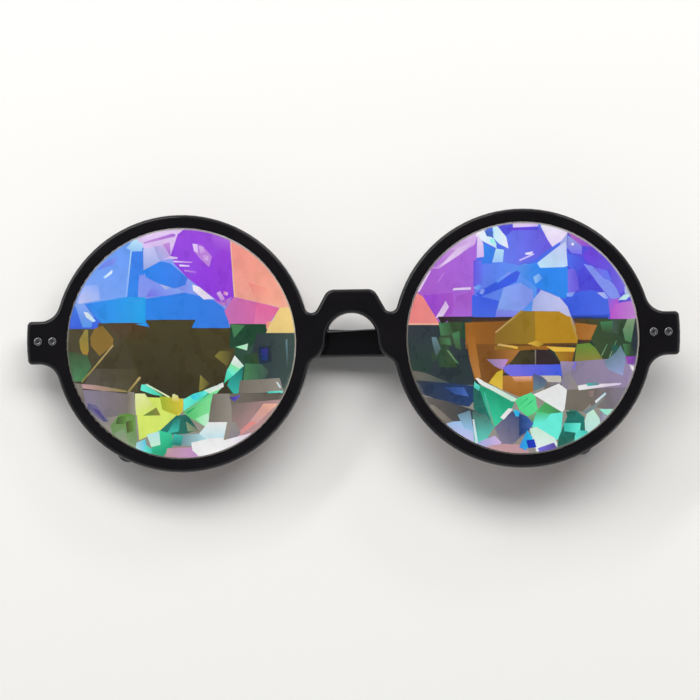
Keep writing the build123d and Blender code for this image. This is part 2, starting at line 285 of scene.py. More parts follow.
# Rivets, bright aluminium, peened over, but coloured dark grey here: painted shade for the dark room
# that the heads mirror. Those in the lugs have a domed head that stands just proud of the front, with
# a punched dimple in it and a flush tail behind. Those in the temples are flush.
rivet_silver = metal("rivet_silver", (0.3, 0.3, 0.31), 0.26, (2.5, 2.5, 2.5), 0.08)
rivet_radius = 0.00095
rivet_tail = -0.005
tail_bevel = 0.0001
rivet_segments = 48
rivet_crease_angle = radians(40)
rivet_profile = (
    (0, -0.00018),
    (0.00034, -0.00018),
    (0.00042, -0.00006),
    (0.00047, 0.00008),
    (0.00056, 0.00013),
    (0.00068, 0.00013),
    (0.0008, 0.00009),
    (0.0009, 0.00002),
    (rivet_radius, -0.00006),
    (rivet_radius, rivet_tail + tail_bevel),
    (rivet_radius - tail_bevel, rivet_tail),
    (0, rivet_tail),
)
for node in list(frame["nodes"]):
    if node.startswith("temple_rivet"):
        give_material(node, rivet_silver)
    elif node.startswith("front_rivet"):
        lowest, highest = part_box(node)
        centre = glasses_axes.inverted() @ ((Vector(lowest) + Vector(highest)) / 2)
        bm = bmesh.new()
        profile = [bm.verts.new((radius, 0, height)) for radius, height in rivet_profile]
        for inner, outer in zip(profile, profile[1:]):
            bm.edges.new((inner, outer))
        bmesh.ops.spin(
            bm,
            geom=bm.verts[:] + bm.edges[:],
            axis=(0, 0, 1),
            angle=2 * pi,
            steps=rivet_segments,
            use_merge=True,
        )
        bmesh.ops.remove_doubles(bm, verts=bm.verts, dist=1e-7)
        bmesh.ops.recalc_face_normals(bm, faces=bm.faces)
        bmesh.ops.transform(
            bm, matrix=glasses_axes @ Matrix.Translation((centre.x, centre.y, 0)), verts=bm.verts
        )
        for face in bm.faces:
            face.smooth = True
        rivet_mesh = bpy.data.meshes.new(node.replace("_", "."))
        bm.to_mesh(rivet_mesh)
        bm.free()
        rivet_mesh.set_sharp_from_angle(angle=rivet_crease_angle)
        rivet_mesh.materials.append(rivet_silver)
        rivet = add_object(rivet_mesh.name, rivet_mesh)
        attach(rivet, "front")
        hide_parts(node)


# Lenses, cut from thick clear crystal glass: flat behind, and ground in front to a shallow
# eight-sided point, eight star facets, eight main facets and a bevel. Each sits in its rim's groove.
def pass_lamp_light(tree, output, shader, tint):
    """Shows a shader, and lets the light of lamps through it with a tint."""
    clear = add_node(tree, "BsdfTransparent", Color=tint)
    lamp_ray = add_node(tree, "LightPath").outputs["Is Shadow Ray"]
    surface = add_node(tree, "MixShader", _0=lamp_ray, _1=shader.outputs[0], _2=clear.outputs[0])
    tree.links.new(surface.outputs[0], output.inputs["Surface"])


lens_glass, tree, output = shader_tree("lens_glass")
wiped = add_node(
    tree, "TexNoise", Vector=object_coordinates(tree), Scale=0.35, Detail=3.0
).outputs["Fac"]
glass_roughness = add_node(
    tree, "MapRange", Value=wiped, From_Min=0.4, From_Max=0.8, To_Min=0.03, To_Max=0.07
).outputs[0]
glass_shader = add_node(
    tree,
    "BsdfPrincipled",
    Base_Color=(0.985, 0.99, 1.0, 1),
    Roughness=glass_roughness,
    IOR=1.54,
    Transmission_Weight=1.0,
)
pass_lamp_light(tree, output, glass_shader, (0.96, 0.96, 0.97, 1))
for side in ("left", "right"):
    give_material(f"lens_{side}", lens_glass)


# Colour coating: thin layers of metal oxide that split the light, broken into shards by the facets.
# It is laid as a flat film in the glass just under the crown. Beside the coating's own colours the
# shards carry painted light: the white and pale glints are painted highlights and reflections, the
# dark band across the middle is the folded temples and their shadow seen through the glass, painted
# in, and the greys under it are the shaded table seen through. A shard has the colours it starts
# and ends with, the heading in degrees between them, and corners right and up in percent of the radius.
coating_and_painted_light_colours = {
    "pale periwinkle": "91B6FF", "periwinkle": "8CA0F8", "deep periwinkle": "6982F5",
    "periwinkle violet": "8076F2", "lavender white": "D4D6FA", "pale lavender": "A6B5EA",
    "lavender": "A896BC", "lilac white": "F3E4FB", "lilac": "E4C4F6", "mauve": "CD98DF",
    "grey mauve": "9088A0", "orchid": "AF5ACF", "light orchid": "B46EE2", "purple": "A046E1",
    "royal purple": "9A42EA", "coral": "F2868A", "old gold": "C2921E",
    "violet purple": "763EE2", "violet": "6E5AE6", "indigo": "504CE0", "ink violet": "37328F",
    "deep violet": "553C91", "magenta": "CA5CD8", "pink": "E96CA8", "light pink": "F587BE",
    "rose": "D479C0", "rose grey": "D2A5AA", "salmon": "FA968C", "peach": "FFC0A5",
    "pale yellow": "FADE8E", "cream": "D8D3C4", "blue": "3C84F0", "azure": "2D90F6",
    "cornflower": "5073F0", "royal blue": "3C62EE", "sky": "5AA0FA", "pale sky": "A5D7FF",
    "sky cyan": "23AFF5", "cyan": "1ED6FA", "deep blue": "0C34C8", "navy": "1A3050",
    "night blue": "163C76", "steel blue": "4670C8", "dusk blue": "585A8E", "ice": "C8F5FF",
    "white": "FFFFFF", "mint white": "D7FFE6", "mint": "96FFAF", "spring green": "58EC98",
    "green": "50C86E", "emerald": "10A578", "aqua": "70FFEC", "turquoise": "3CE1AF",
    "sea green": "3ACDBE", "teal": "1E8278", "dark teal": "1C6254", "leaf": "4B8C5A",
    "moss": "649638", "pale leaf": "8CAA82", "dark green": "1E4B32", "forest": "3C5230",
    "deep forest": "223F34", "slate": "2A343E", "slate blue": "6C8E98", "slate green": "465A54",
    "olive": "4E4626", "dark olive": "3A3422", "khaki": "968C3E", "ochre": "917024",
    "gold": "B08E24", "bright gold": "F8CA48", "yellow": "E4CC38", "lime": "E8FA73",
    "pale lime": "FAFFBE", "acid green": "ACC432", "amber": "A86A20", "brown": "845420",
    "dark brown": "583E24", "umber": "34262A", "copper": "C2823C", "tan": "CDAF73",
    "taupe": "7D746A", "dark taupe": "5C564C", "stone": "A09A90",
}
left_shards = (
    ("periwinkle", "pale periwinkle", 90, (-120, 10), (120, 10), (120, 120), (-120, 120)),
    ("pale periwinkle", "sky", 60, (-120, 30), (-47, 42), (-42, 88), (-45, 120), (-120, 120)),
    ("lavender white", "pale periwinkle", 60, (-91, 36), (-84, 52), (-72, 53), (-70.5, 40)),
    ("deep periwinkle", "periwinkle", 30, (-73, 66), (-66, 74), (-56, 77), (-58, 71)),
    ("ice", "white", 90, (-68, 59.5), (-60, 66), (-60, 63), (-66, 58.5)),
    ("blue", "azure", 270, (-42, 88), (-32, 86), (-32, 41), (-47, 41)),
    ("ice", "pale periwinkle", 270, (-43.5, 88), (-42.5, 88), (-46.5, 41), (-48, 41)),
    ("lilac", "lilac white", 90, (-39, 92), (-33, 85), (-18, 74), (1, 76), (1, 120), (-41, 120)),
    ("mauve", "light orchid", 20, (-33, 90), (-8, 97.5), (-5, 97), (-5, 95), (-32, 88.5)),
    ("pale lavender", "lilac", 40, (-24, 86), (-11, 88), (-6, 80), (-18, 73)),
    ("mauve", "light orchid", 300, (-16, 88), (-10, 90), (-9, 77)),
    ("pale sky", "ice", 90, (-48, 85), (-40, 93), (-33, 88), (-34, 82), (-42, 82)),
    ("lavender white", "pale lavender", 270, (-33, 84), (-24, 86), (-18, 73), (-23, 66), (-32.5, 65)),
    ("periwinkle", "periwinkle", 0, (-36, 61), (-37, 41), (6, 42), (6, 55), (-20, 62)),
    ("pale periwinkle", "periwinkle violet", 240, (-22, 55), (-10, 52), (2, 47), (-4, 43), (-30, 42)),
    ("lavender white", "pale lavender", 0, (-23, 58), (-16, 57.5), (-8, 50), (-13, 48)),
    ("blue", "azure", 180, (-33, 65), (-18, 73), (-9, 71), (6, 58), (4, 52), (-5, 49), (-18, 53), (-30, 59)),
    ("blue", "royal blue", 270, (-100, 36), (-83, 37), (-66, 20), (-66, 12), (-100, 12)),
    ("pale periwinkle", "sky", 270, (-93, 36), (-85, 37), (-76, 26), (-78, 16), (-86, 16)),
    ("azure", "sky cyan", 0, (-83, 36.5), (-47, 42), (-30.5, 41.5), (-30.5, 18), (-67, 18), (-74, 25)),
    ("white", "ice", 0, (-85, 29.5), (-81, 29), (-74, 21.5), (-76.5, 20.5), (-82.5, 24.5)),
    ("azure", "blue", 0, (-30.5, 40), (4, 46), (29, 38.5), (38.5, 31), (42.5, 14), (-30.5, 14)),
    ("royal purple", "purple", 60, (-3, 97), (-9, 78), (-6, 71), (6, 58), (29, 40.5), (38.5, 34),
     (46, 42), (43, 90), (20, 104), (6, 104)),
    ("purple", "light orchid", 60, (26, 100), (28, 86), (43, 80), (43, 96)),
    ("light orchid", "mauve", 300, (10, 89), (19, 87), (27, 77), (24.5, 68), (17, 75), (11, 82)),
    ("lilac white", "lilac", 0, (10, 88.5), (14.5, 88), (15, 80), (11.5, 82)),
    ("lilac", "mauve", 300, (15.5, 86.5), (19, 85.5), (21.5, 81), (17, 79.5)),
    ("mauve", "lilac", 300, (19, 78.5), (24, 78), (24, 73.5), (20.5, 74)),
    ("lilac white", "lilac", 0, (-10, 77.5), (-3, 76.5), (-3, 75), (-9, 75)),
    ("lilac white", "mauve", 0, (-7, 73.5), (10, 72.5), (10, 71.5), (-6, 72)),
    ("white", "lilac", 0, (-1.5, 70), (7.5, 69.5), (7.5, 68), (-1, 68.5)),
    ("mauve", "light orchid", 0, (3, 65.5), (13, 64), (13, 62.5), (3, 64)),
    ("white", "lilac white", 0, (10, 52.5), (16, 50.5), (29, 40), (20, 39.5), (10.5, 47.5)),
    ("orchid", "mauve", 0, (28, 39.5), (38, 37), (39, 33), (33, 36)),
    ("mauve", "lilac", 90, (31, 45), (34, 47), (38, 40), (35, 38)),
    ("light pink", "lilac", 0, (37, 47), (41, 45.5), (40, 43), (36.5, 44)),
    ("orchid", "mauve", 0, (36, 38), (44, 42), (40, 34)),
    ("salmon", "peach", 300, (42, 120), (120, 120), (120, 28), (86, 33), (46, 42), (43, 92)),
    ("salmon", "peach", 300, (58, 55), (74, 50), (86, 33), (66, 38)),
    ("peach", "pale yellow", 270, (42.5, 92), (43.5, 92), (47, 42), (46, 42)),
    ("rose", "pink", 0, (45.5, 42), (87, 32.5), (74, 17), (42.5, 17), (37.5, 30)),
    ("pink", "light pink", 240, (66, 37.5), (87, 32.5), (74, 17), (63, 17)),
    ("salmon", "peach", 0, (74, 21), (80, 21.5), (73.5, 13)),
    ("pale yellow", "pale yellow", 90, (86, 33), (120, 34), (120, 11.2), (73, 11.2), (78.5, 20.7)),
    # The dark band from here on is the folded temples and their shadow seen through the glass, painted in as
    # shade and tinted by the coating.
    ("olive", "dark olive", 270, (-120, 14.7), (-70, 14.7), (-70, -45), (-120, -45)),
    ("olive", "dark olive", 270, (-72, 19.6), (-30, 19.6), (-30, -45), (-72, -45)),
    ("dark brown", "olive", 270, (-48, 19.6), (-30, 19.6), (-30, 2), (-46, 2)),
    ("olive", "dark olive", 270, (-30, 22.3), (13, 22.3), (13, -45), (-30, -45)),
    ("olive", "dark olive", 270, (13, 15.3), (42.5, 15.3), (42.5, -45), (13, -45)),
    ("azure", "azure", 0, (13.2, 22.5), (13.2, 15.2), (9.5, 15.2)),
    ("azure", "sky cyan", 180, (-29.5, 20), (-26.8, 16), (-39, 18.5)),
    ("dark green", "slate green", 0, (42.5, 18.8), (74, 18.8), (74, -45), (42.5, -45)),
    ("slate", "slate green", 270, (73, 11.2), (120, 11.2), (120, -45), (73, -45)),
    ("ochre", "ochre", 0, (-75, 15), (-68, 17.5), (-58, 6), (-58.5, 0.5), (-70.5, -9), (-78.5, 0),
     (-79, 7.5)),
    ("khaki", "gold", 270, (-84, 14), (-81, 14), (-80.5, -5), (-84, -11), (-88, -3), (-89, 5)),
    ("copper", "gold", 0, (-85, -6), (-81, -5), (-82, -11)),
    ("dark brown", "olive", 270, (-63, 17), (-43, 19), (-43, 3), (-57, 5)),
    ("dark green", "dark green", 0, (46, 18.5), (73, 18.5), (75, 13), (59, -2), (47, -2)),
    ("leaf", "leaf", 0, (43, 18.5), (55.5, 17.5), (46, 6.5)),
    ("slate", "slate green", 0, (66, 11), (105, 11), (105, -28), (80, -38), (57, -20)),
    ("slate blue", "slate green", 270, (91, 5), (92.5, 6), (93.5, -18), (92, -18)),
    ("forest", "leaf", 270, (-99, -5), (-82, -8), (-78, -18), (-86, -31), (-94, -31), (-100, -15)),
    ("dark taupe", "olive", 0, (-78, -20), (-37, -20), (-37, -40), (-84, -33)),
    ("tan", "khaki", 240, (-58.8, 0.8), (-57.8, 0), (-86.3, -32), (-87.2, -31)),
    ("khaki", "tan", 60, (-46, -39), (-45, -40.5), (-34.5, -28), (-35.5, -26.5)),
    ("grey mauve", "taupe", 0, (-86, -37), (-68, -39), (-40, -40), (-40, -58), (-56, -61), (-70, -64),
     (-86, -52)),
    ("rose grey", "khaki", 0, (-89, -33), (-74, -34), (-47, -38.5), (-46, -40), (-68, -39), (-86, -37)),
    ("grey mauve", "stone", 0, (-110, -60), (-81, -50), (-70, -60), (-59, -68), (-62, -80), (-70, -95)),
    ("dusk blue", "grey mauve", 330, (-82, -50), (-74, -52), (-62, -66), (-72, -64), (-82, -54)),
    ("deep violet", "dusk blue", 330, (-78, -54), (-72, -56), (-64, -66), (-68, -66)),
    ("stone", "taupe", 0, (-100, -32), (-87, -33), (-84, -48), (-92, -52)),
    ("moss", "pale leaf", 270, (-62, -70), (-54, -60), (-40, -57), (-38, -86), (-44, -92), (-58, -82)),
    ("forest", "moss", 0, (-55, -62), (-47, -60), (-49, -68), (-57, -68)),
    ("pale leaf", "stone", 270, (-58, -76), (-50, -72), (-44, -90), (-54, -86)),
    ("olive", "moss", 0, (-48, -66), (-42, -64), (-41, -74), (-47, -76)),
    ("taupe", "stone", 0, (-46, -39), (-40, -40), (-40, -60), (-47, -58)),
    ("lime", "lime", 0, (-39.5, -41), (-32, -40), (-9, -45), (2, -45.5), (2, -56), (-3, -61),
     (-18, -73), (-36.5, -82)),
    ("pale lime", "lime", 300, (-39.5, -41), (-31, -41), (-22, -54), (-31, -60), (-39, -60)),
    ("moss", "khaki", 0, (-21, -53), (-17.5, -60), (-33, -60.5)),
    ("acid green", "yellow", 0, (-18, -43), (2, -45.5), (2, -56), (-3, -60), (-16, -55)),
    ("pale lime", "yellow", 270, (-7, -42), (-3, -41), (-1, -48), (-7, -48)),
    ("aqua", "turquoise", 0, (-34, -33), (-30, -33), (-15, -43), (-23, -42), (-35, -38)),
    ("mint white", "pale lime", 0, (-31, -33), (-29, -32.5), (-9, -43.5), (-10, -44.5)),
    ("dark teal", "teal", 180, (-18, -73), (-4, -60), (6, -59), (15, -73), (5, -76), (-17, -78)),
    ("teal", "sea green", 270, (-6, -64), (0, -62), (-2, -74), (-12, -76)),
    ("pale leaf", "taupe", 0, (4.5, -65), (17, -74), (6, -74)),
    ("turquoise", "emerald", 300, (-20, -73), (-8, -76), (-6, -86), (-20, -100), (-29, -98)),
    ("ice", "mint white", 270, (-30, -77), (-19, -74), (-18, -86), (-26, -88)),
    ("ice", "cyan", 0, (-39, -84), (-31, -81), (-29, -96), (-40, -92)),
    ("aqua", "sea green", 0, (-31, -86), (-25, -90), (-27, -98), (-33, -94)),
    ("dark olive", "olive", 90, (-5, -15), (-5, -42), (3, -45), (36, -32), (46, -8), (47, -2), (30, -2)),
    ("khaki", "olive", 0, (29.5, -9), (33.5, -4.5), (45, -4.5), (40, -17.5)),
    ("khaki", "olive", 0, (17, -25), (26, -33), (16, -39)),
    ("mint", "mint white", 0, (47, -1), (58, 2), (57, -4), (52, -2.5)),
    ("teal", "sea green", 270, (43, -25), (54, -19), (52, -36), (48, -44), (40, -34)),
    ("turquoise", "aqua", 90, (40, -20), (55, -17), (37, -32.5)),
    ("mint white", "white", 90, (46.5, -8), (54.5, -17), (50, -20), (42.5, -16)),
    ("mint", "aqua", 240, (43, -15), (51, -20), (45, -26), (40.5, -20)),
    ("aqua", "turquoise", 0, (2, -46), (11, -41), (24, -37), (28, -38), (15, -48), (2.5, -56)),
    ("cyan", "aqua", 0, (8, -43), (22, -38), (23, -41), (12, -47)),
    ("spring green", "mint", 0, (15, -48), (25, -41), (35, -36), (28, -44), (18, -50)),
    ("mint white", "white", 0, (20, -38), (36.5, -31.5), (37, -35), (25, -41)),
    ("green", "mint", 0, (2, -57), (14.5, -49), (28, -43), (26, -65), (22, -70.5), (8, -62)),
    ("mint", "mint white", 0, (12, -63), (24, -58), (25, -66), (21, -70)),
    ("emerald", "green", 0, (5, -57), (13, -52), (12, -54), (6, -59)),
    ("taupe", "stone", 0, (28, -41), (42, -41), (44, -66), (24, -66), (26, -50)),
    ("leaf", "slate green", 0, (56, -14), (66, -12), (76, -22), (72, -32), (54, -30)),
    ("dark green", "forest", 0, (54, -8), (66, -6), (68, -16), (56, -15)),
    ("navy", "slate", 0, (67, -1), (78, 0), (79, -14), (68, -16)),
    ("night blue", "ink violet", 90, (69.5, -3), (75.5, -2), (75, -13), (70.5, -12)),
    ("taupe", "stone", 0, (51, -30), (86, -28), (89, -40), (50, -41)),
    ("taupe", "dark taupe", 0, (42, -41), (92, -41), (86, -54), (44, -54)),
    ("ink violet", "violet", 0, (41.5, -44.5), (52, -42.5), (46.5, -48)),
    ("taupe", "rose grey", 315, (44, -50), (92, -46), (88, -60), (60, -88), (44, -66)),
    ("peach", "rose grey", 240, (72, -50), (84, -50), (66, -68), (58, -68)),
    ("salmon", "rose grey", 240, (60, -66), (66, -66), (50, -80), (44, -80)),
    ("stone", "grey mauve", 270, (42, -66), (48, -66), (52, -76), (42, -86)),
    ("lilac white", "white", 240, (86, -54), (90, -58), (66, -84), (58, -82)),
    ("white", "lilac white", 0, (37, -82), (60, -76), (66, -76), (60, -90), (38, -98)),
    ("sea green", "aqua", 0, (75, -39.5), (88, -39), (88, -40.5), (76, -41)),
    ("white", "ice", 0, (82.5, -31), (84.5, -32), (87.5, -36.5), (85.5, -36.5)),
    ("slate blue", "ice", 0, (-2, -77), (17, -76), (25, -83), (10, -87), (-2, -86)),
    ("sea green", "teal", 270, (-6, -76), (2, -78), (0, -87), (-8, -86)),
    ("white", "ice", 270, (24, -66), (40, -66), (37, -81), (25, -83), (16, -76)),
    ("rose grey", "mauve", 0, (-12, -89), (10, -88), (22, -93), (22, -104), (-16, -104)),
    ("white", "white", 0, (9, -84), (26, -80), (37, -80), (42, -96), (20, -100), (10, -91)),
)
right_shards = (
    ("cornflower", "cornflower", 0, (-120, 5), (120, 5), (120, 120), (-120, 120)),
    ("orchid", "light orchid", 0, (-120, 12), (-42, 12), (-38, 120), (-120, 120)),
    ("purple", "orchid", 0, (-86, 37), (-60, 39), (-58, 22), (-75, 16)),
    ("light orchid", "orchid", 90, (-56, 36), (-43, 40), (-43, 17), (-60, 17), (-60, 24)),
    ("mauve", "lilac", 50, (-90, 60), (-72, 60), (-41, 81), (-38, 92), (-45, 110), (-95, 80)),
    ("light orchid", "mauve", 50, (-76, 61), (-68, 66), (-58, 76), (-64, 78), (-78, 67)),
    ("lilac white", "lilac", 40, (-73, 60), (-68, 58), (-54, 72), (-41, 80), (-41, 84), (-56, 78)),
    ("lilac white", "lilac", 60, (-94, 39), (-89, 40), (-79, 58), (-82, 62)),
    ("lilac white", "lilac white", 0, (-60, 41), (-59, 43), (-44, 43.5), (-44, 41.5)),
    ("mauve", "mauve", 0, (-74, 47), (-72, 49), (-67, 57), (-69, 55)),
    ("lilac white", "lilac", 90, (-75, 17), (-69, 27), (-66, 32), (-63, 27), (-68, 19)),
    ("coral", "salmon", 0, (-120, 12), (-71, 12), (-86, 36), (-91, 39), (-120, 39)),
    ("peach", "peach", 0, (-110, 13), (-71, 13), (-70, 11), (-110, 11)),
    ("deep periwinkle", "sky", 0, (-42, 14), (12, 14), (12, 62), (-20, 68), (-39, 67)),
    ("violet", "deep periwinkle", 0, (-42, 67), (-33, 67), (-35, 46), (-42, 44)),
    ("azure", "blue", 270, (-34, 82), (-23, 75), (-26, 64), (-35, 64)),
    ("deep periwinkle", "violet", 10, (-17, 65), (-13, 92), (-9, 97), (14, 96), (25, 83), (25, 78),
     (11, 68), (-2, 62)),
    ("indigo", "indigo", 0, (-24, 98), (-9, 100), (-9, 93), (-13, 89), (-18, 91)),
    ("violet purple", "indigo", 0, (-10, 95.5), (13, 96), (14, 93.5), (-10, 93)),
    ("royal blue", "royal blue", 0, (-26, 46), (-5, 57.5), (-2, 56), (-5, 48), (-16, 43), (-36, 35),
     (-40, 38)),
    ("sky", "periwinkle", 0, (-23, 49), (-21, 47), (-10, 55), (-11, 57)),
    ("pale periwinkle", "sky", 0, (-42, 43), (-37, 46), (-35, 44), (-38, 41)),
    ("pale periwinkle", "periwinkle", 0, (-37, 38), (-35, 42), (-32, 41), (-34, 37)),
    ("cornflower", "royal blue", 90, (-43, 37), (-20, 32), (-21, 22), (-24, 14), (-43, 14)),
    ("periwinkle", "pale periwinkle", 180, (-16, 43), (-2, 47), (9, 41), (9, 33), (-2, 22), (-22, 20),
     (-21, 28)),
    ("periwinkle violet", "periwinkle", 90, (-22, 25), (-1, 23), (-9, 14), (-24, 14)),
    ("white", "ice", 330, (-39, 93), (-33, 95), (-24, 84), (-22, 77), (-35, 84), (-40, 88)),
    ("ice", "white", 0, (-26, 98), (-21, 96), (-14, 87), (-12, 77), (-20, 81), (-25, 86)),
    ("aqua", "mint white", 0, (-28, 85), (-25, 86), (-22, 80), (-27, 82)),
    ("steel blue", "steel blue", 0, (-33, 93), (-25, 92), (-26, 87), (-31, 88)),
    ("ice", "pale sky", 270, (-23, 77), (-16, 76), (-17, 65), (-26, 65)),
    ("lilac white", "lilac", 270, (-39, 90), (-34, 82), (-33, 70), (-39.5, 69)),
    ("white", "lilac white", 0, (2, 73), (9, 74.5), (8, 71.5), (3, 71.5)),
    ("lilac", "lavender white", 0, (-3, 67), (10, 73), (10, 71.5), (-2, 66)),
    ("lilac white", "lilac", 0, (-9, 104), (-8, 95.5), (13, 96.5), (16, 104)),
    ("white", "lilac white", 300, (14, 96), (20, 110), (44, 110), (40, 92), (35, 85), (25, 78), (22, 84)),
    ("pale lavender", "pale lavender", 0, (32, 82), (38, 90), (40, 92), (38.5, 77), (33, 78)),
    ("ice", "lavender white", 60, (13, 68), (32, 80), (37, 84), (38.5, 62), (33, 60), (14, 60), (12, 64)),
    ("azure", "azure", 0, (12, 60), (38.5, 61), (38.5, 34), (31, 35), (10, 44)),
    ("sky", "azure", 0, (-4, 60), (12, 65), (15, 60), (14, 52), (10, 45), (0, 52)),
    ("pale sky", "sky", 0, (9, 52), (14, 55.5), (17, 51), (11, 46)),
    ("indigo", "violet", 0, (38.5, 91), (42, 120), (120, 120), (120, 15), (60, 15), (38.5, 36)),
    ("rose", "violet purple", 330, (39, 91), (42, 115), (80, 95), (62, 78), (50, 80), (44, 84)),
    ("violet purple", "violet", 330, (50, 80), (60, 80), (68, 88), (84, 66), (78, 58), (68, 59),
     (55, 66), (52, 70)),
    ("pale lavender", "periwinkle violet", 270, (39, 89), (44, 85), (51, 80), (51, 72), (42, 73), (39, 77)),
    ("white", "white", 0, (41.5, 81), (43, 82.5), (44.5, 81), (43, 79.5)),
    ("cornflower", "indigo", 0, (38.5, 73), (52, 70), (55, 66), (47, 54), (38.5, 62)),
    ("periwinkle violet", "violet", 0, (38.5, 59), (46, 60), (47, 52), (50, 43), (43, 38), (38.5, 38)),
    ("indigo", "indigo", 0, (47, 58), (55, 62), (66, 45), (70, 41), (60, 41), (49, 43)),
    ("periwinkle", "periwinkle", 0, (52, 64), (60, 62), (80, 45), (84, 35), (76, 33), (66, 45)),
    ("periwinkle violet", "deep periwinkle", 0, (60, 61.5), (73, 58), (77, 49), (70, 51)),
    ("violet", "periwinkle violet", 0, (74, 64), (81, 61), (90, 45), (84, 38), (77, 48)),
    ("lilac white", "white", 0, (81, 59), (83, 58.5), (88, 50), (85.5, 50)),
    ("royal blue", "cornflower", 0, (38.5, 36), (42, 39), (60, 41), (66, 40), (75, 34), (74, 16),
     (40, 16), (33, 34)),
    ("lavender white", "pale periwinkle", 0, (64, 39), (70, 39.5), (74, 34), (70, 34)),
    ("pale periwinkle", "periwinkle", 0, (37, 38), (45, 39.5), (42, 35.5), (38, 35.5)),
    ("periwinkle violet", "magenta", 330, (73, 34), (84, 34), (80, 28), (75, 20)),
    ("magenta", "mauve", 0, (75, 20), (80, 30), (92, 32), (102, 30), (102, 14), (75, 14)),
    ("mint white", "ice", 0, (82, 33), (87, 37.5), (94, 38.5), (89, 33)),
    ("sea green", "lavender white", 180, (87, 44), (93, 45), (96, 38), (88, 38)),
    ("pale lavender", "lavender white", 0, (10, 43), (31, 35), (38, 27), (42, 16), (-2, 20), (9, 33)),
    # The dark band from here on is the folded temples and their shadow seen through the glass, painted in as
    # shade and tinted by the coating.
    ("slate", "deep forest", 0, (-120, 11.5), (120, 11.5), (120, -40), (-120, -40)),
    ("slate", "deep forest", 270, (-120, 11.5), (-79, 11.5), (-76, -15), (-80, -31), (-120, -31)),
    ("forest", "deep forest", 270, (-81, 11.5), (-71, 13), (-69, 18), (-42, 18), (-38, -38),
     (-64, -40), (-92, -34), (-84, -27), (-78, -14)),
    ("leaf", "forest", 0, (-72, 14), (-62, 13), (-59, 3), (-70, 2)),
    ("forest", "leaf", 0, (-72, 1), (-62, 0), (-61, -6), (-70, -5)),
    ("dark green", "forest", 0, (-75, -8), (-67, -5), (-59, -14), (-56, -25), (-71, -25)),
    ("pale leaf", "leaf", 300, (-65, -10), (-63, -11), (-54, -22), (-57, -21)),
    ("leaf", "forest", 300, (-60, 4), (-54, 6), (-52, -10), (-57, -8)),
    ("dark green", "dark green", 0, (-52, 14), (-44, 14), (-47, -2), (-52, 0)),
    ("slate blue", "slate green", 270, (-79, 1), (-74, 1), (-70, -9), (-75, -18), (-77, -6)),
    ("umber", "umber", 0, (-73, 18.5), (-59, 18.5), (-67, 13), (-70, 13)),
    ("umber", "slate", 0, (-64, 18.5), (-42, 18.5), (-42, 14), (-64, 14)),
    ("taupe", "slate green", 0, (-100, -27), (-84, -30), (-62, -38.5), (-73, -38), (-96, -36)),
    ("slate", "night blue", 0, (-96, -36), (-66, -38.5), (-41, -40), (-38, -50), (-46, -59),
     (-66, -56), (-92, -46)),
    ("night blue", "steel blue", 0, (-68, -42), (-50, -42), (-46, -50), (-58, -48)),
    ("amber", "brown", 0, (-49, 13), (-6, 17), (-6, -9), (-48, -9)),
    ("dark brown", "umber", 90, (-43, 18), (-6, 18), (-6, 15), (-43, 13.5)),
    ("brown", "brown", 0, (-48, -5), (-14, -5), (-14, -29), (-29, -39), (-41, -36), (-45, -18)),
    ("amber", "copper", 270, (-47, 2), (-41, 1), (-35, -34), (-40, -35), (-45, -18)),
    ("gold", "ochre", 180, (-23, 4), (-1, 23), (31, 23), (40, 18), (47, 0), (46, -6), (-24, -6)),
    ("old gold", "old gold", 0, (10.5, 23), (31, 23), (40, 18), (47, 0), (46, -6), (10.5, -6)),
    ("tan", "gold", 0, (39.5, 18.5), (41.5, 18), (48.5, 0), (46, 0)),
    ("tan", "gold", 0, (-23, 4), (-23, 5.5), (-1, 24), (1, 23)),
    ("brown", "dark brown", 0, (-24, -5), (46, -4), (46, -6.5), (-24, -7)),
    ("ochre", "amber", 0, (-24, -6.5), (22, -6.5), (22, -10.5), (-24, -10.5)),
    ("tan", "bright gold", 0, (-22, -6), (-20, -4.5), (-4, -7), (-4, -9)),
    ("bright gold", "gold", 0, (4, -4.5), (11, -2), (18, -5), (13, -7.5)),
    ("bright gold", "bright gold", 0, (20, -7), (45, -8), (44, -11.5), (27, -11.5)),
    ("gold", "amber", 0, (27, -11.5), (44, -11.5), (42, -20), (32, -20)),
    ("brown", "copper", 0, (-24, -10), (-2, -10), (-12, -23), (-22, -22)),
    ("mauve", "grey mauve", 180, (-31, -18), (-12, -18), (-17, -27), (-24, -24)),
    ("olive", "dark olive", 0, (-13, -23), (0, -10), (11, -9.5), (11, -23)),
    ("umber", "umber", 0, (11, -9.5), (22, -10), (33, -22), (33, -23), (11, -23)),
    ("stone", "taupe", 270, (10.5, -10), (11.5, -10), (11.5, -23), (10.5, -23)),
    ("yellow", "bright gold", 270, (-29, -38), (-22, -29), (-17, -27), (-17, -44)),
    ("copper", "amber", 270, (-17, -32), (9, -32), (9, -45), (-2, -50), (-17, -44)),
    ("peach", "copper", 270, (-9, -33), (8, -32.5), (8, -37), (-6, -38)),
    ("periwinkle violet", "royal blue", 0, (-17, -25), (-12, -22.5), (33, -22.5), (37, -27),
     (35, -32.5), (-10, -32.5), (-15, -29)),
    ("cream", "cream", 0, (15, -32), (33, -32), (33, -37.5), (20, -37)),
    ("dusk blue", "slate blue", 270, (9, -30), (17, -33), (21, -36.5), (20, -41), (9, -45)),
    ("taupe", "grey mauve", 0, (20, -37), (33, -37.5), (31, -41), (18, -44)),
    ("royal blue", "navy", 270, (41, 19.5), (74, 20.5), (73, 16.5), (42.5, 16.5)),
    ("dark brown", "forest", 0, (42.5, 16.5), (73, 17), (66, 11), (44, 13)),
    ("amber", "copper", 0, (44, 13), (67, 11), (58, -2), (47, -1)),
    ("forest", "deep forest", 0, (66, 16.5), (120, 16.5), (120, -15), (69, -20), (58, -1)),
